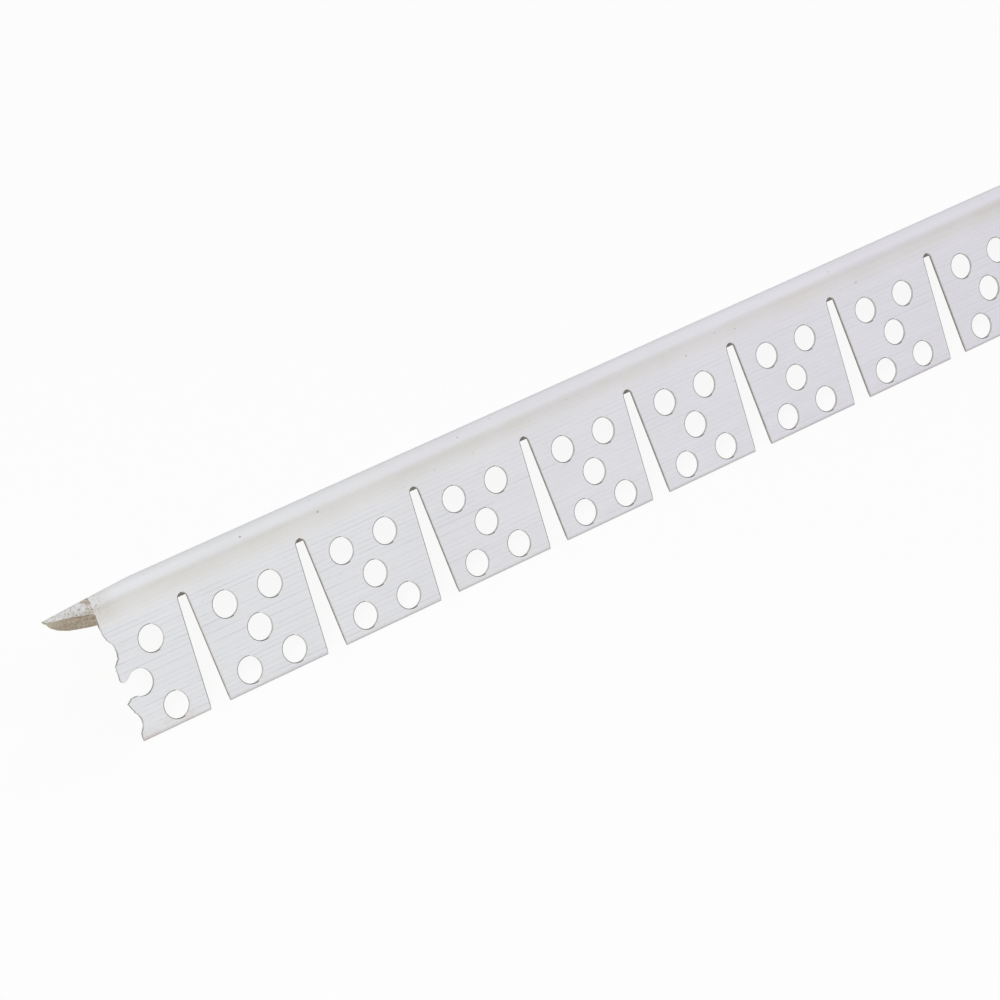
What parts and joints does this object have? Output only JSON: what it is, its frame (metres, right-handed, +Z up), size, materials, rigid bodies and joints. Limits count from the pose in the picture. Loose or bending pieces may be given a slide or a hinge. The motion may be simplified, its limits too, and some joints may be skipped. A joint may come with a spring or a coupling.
{
  "type": "arch corner bead",
  "caption": "Plastic angle bead with a raised round nose, a plain rear leg, and a notched front leg with key holes that lets it bend around an arch.",
  "frame": {"origin": "on the ground below the nose, in the middle of the length", "axes": "+X along the stock, away from the torn end that the picture shows; +Z up, through the nose; the notched leg is on the -Y side"},
  "size_m": [2.4384, 0.0314, 0.0234],
  "materials": {
    "white_vinyl": "satin extruded white vinyl with faint lengthwise drawing lines"
  },
  "bodies": {
    "root": {"arch_corner_bead": "white_vinyl"}
  },
  "joints": []
}
